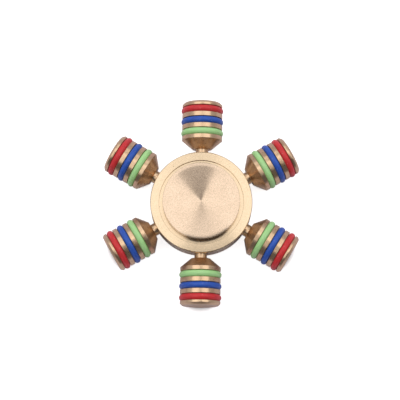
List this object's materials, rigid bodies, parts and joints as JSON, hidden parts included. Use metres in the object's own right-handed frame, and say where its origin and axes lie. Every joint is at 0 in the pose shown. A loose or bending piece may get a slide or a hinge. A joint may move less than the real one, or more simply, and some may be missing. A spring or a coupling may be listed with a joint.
{
  "type": "fidget spinner",
  "caption": "Turned brass fidget spinner: a ball bearing hub between two dished finger caps, with screw-in barrel weights banded by coloured rubber rings.",
  "frame": {"origin": "centre of the bearing, on the spin axis", "axes": "+Z is the spin axis, out of the top finger cap; +Y runs along arm 1 and the other arms follow clockwise seen from +Z"},
  "size_m": [0.0564, 0.059, 0.0126],
  "materials": {
    "brass": "fine turned, satin",
    "polished_brass": "turned and polished",
    "bearing_steel": "ground and polished",
    "cage_steel": "stamped, satin",
    "red_rubber": "satin moulded",
    "blue_rubber": "satin moulded",
    "green_rubber": "satin moulded"
  },
  "bodies": {
    "caps": {"cap_top": "brass", "cap_bottom": "brass", "bearing_inner_race": "bearing_steel"},
    "rotor": {"hub": "brass", "bearing_outer_race": "bearing_steel", "shield_top": "bearing_steel", "shield_bottom": "bearing_steel", "snap_ring_top": "cage_steel", "snap_ring_bottom": "cage_steel", "weight_1": "polished_brass", "weight_2": "polished_brass", "weight_3": "polished_brass", "weight_4": "polished_brass", "weight_5": "polished_brass", "weight_6": "polished_brass", "oring_green_1": "green_rubber", "oring_green_2": "green_rubber", "oring_green_3": "green_rubber", "oring_green_4": "green_rubber", "oring_green_5": "green_rubber", "oring_green_6": "green_rubber", "oring_blue_1": "blue_rubber", "oring_blue_2": "blue_rubber", "oring_blue_3": "blue_rubber", "oring_blue_4": "blue_rubber", "oring_blue_5": "blue_rubber", "oring_blue_6": "blue_rubber", "oring_red_1": "red_rubber", "oring_red_2": "red_rubber", "oring_red_3": "red_rubber", "oring_red_4": "red_rubber", "oring_red_5": "red_rubber", "oring_red_6": "red_rubber"},
    "cage": {"bearing_cage": "cage_steel"},
    "ball_1": {"ball_1": "bearing_steel"},
    "ball_2": {"ball_2": "bearing_steel"},
    "ball_3": {"ball_3": "bearing_steel"},
    "ball_4": {"ball_4": "bearing_steel"},
    "ball_5": {"ball_5": "bearing_steel"},
    "ball_6": {"ball_6": "bearing_steel"},
    "ball_7": {"ball_7": "bearing_steel"},
    "ball_8": {"ball_8": "bearing_steel"},
    "ball_9": {"ball_9": "bearing_steel"},
    "ball_10": {"ball_10": "bearing_steel"}
  },
  "joints": [
    {"name": "rotor_spin", "type": "hinge", "parent": "caps", "child": "rotor", "pos_m": [0, 0, 0], "axis": [0, 0, 1], "continuous": true},
    {"name": "cage_spin", "type": "hinge", "parent": "caps", "child": "cage", "pos_m": [0, 0, 0], "axis": [0, 0, 1], "continuous": true},
    {"name": "ball_1_spin", "type": "hinge", "parent": "cage", "child": "ball_1", "pos_m": [0, 0.00476, 0], "axis": [0, 0, 1], "continuous": true},
    {"name": "ball_2_spin", "type": "hinge", "parent": "cage", "child": "ball_2", "pos_m": [0.0028, 0.00385, 0], "axis": [0, 0, 1], "continuous": true},
    {"name": "ball_3_spin", "type": "hinge", "parent": "cage", "child": "ball_3", "pos_m": [0.00453, 0.00147, 0], "axis": [0, 0, 1], "continuous": true},
    {"name": "ball_4_spin", "type": "hinge", "parent": "cage", "child": "ball_4", "pos_m": [0.00453, -0.00147, 0], "axis": [0, 0, 1], "continuous": true},
    {"name": "ball_5_spin", "type": "hinge", "parent": "cage", "child": "ball_5", "pos_m": [0.0028, -0.00385, 0], "axis": [0, 0, 1], "continuous": true},
    {"name": "ball_6_spin", "type": "hinge", "parent": "cage", "child": "ball_6", "pos_m": [0, -0.00476, 0], "axis": [0, 0, 1], "continuous": true},
    {"name": "ball_7_spin", "type": "hinge", "parent": "cage", "child": "ball_7", "pos_m": [-0.0028, -0.00385, 0], "axis": [0, 0, 1], "continuous": true},
    {"name": "ball_8_spin", "type": "hinge", "parent": "cage", "child": "ball_8", "pos_m": [-0.00453, -0.00147, 0], "axis": [0, 0, 1], "continuous": true},
    {"name": "ball_9_spin", "type": "hinge", "parent": "cage", "child": "ball_9", "pos_m": [-0.00453, 0.00147, 0], "axis": [0, 0, 1], "continuous": true},
    {"name": "ball_10_spin", "type": "hinge", "parent": "cage", "child": "ball_10", "pos_m": [-0.0028, 0.00385, 0], "axis": [0, 0, 1], "continuous": true}
  ],
  "couplings": [
    {"joint": "cage_spin", "follows": "rotor_spin", "ratio": 0.58333},
    {"joint": "ball_1_spin", "follows": "rotor_spin", "ratio": 2.9167},
    {"joint": "ball_2_spin", "follows": "rotor_spin", "ratio": 2.9167},
    {"joint": "ball_3_spin", "follows": "rotor_spin", "ratio": 2.9167},
    {"joint": "ball_4_spin", "follows": "rotor_spin", "ratio": 2.9167},
    {"joint": "ball_5_spin", "follows": "rotor_spin", "ratio": 2.9167},
    {"joint": "ball_6_spin", "follows": "rotor_spin", "ratio": 2.9167},
    {"joint": "ball_7_spin", "follows": "rotor_spin", "ratio": 2.9167},
    {"joint": "ball_8_spin", "follows": "rotor_spin", "ratio": 2.9167},
    {"joint": "ball_9_spin", "follows": "rotor_spin", "ratio": 2.9167},
    {"joint": "ball_10_spin", "follows": "rotor_spin", "ratio": 2.9167}
  ]
}
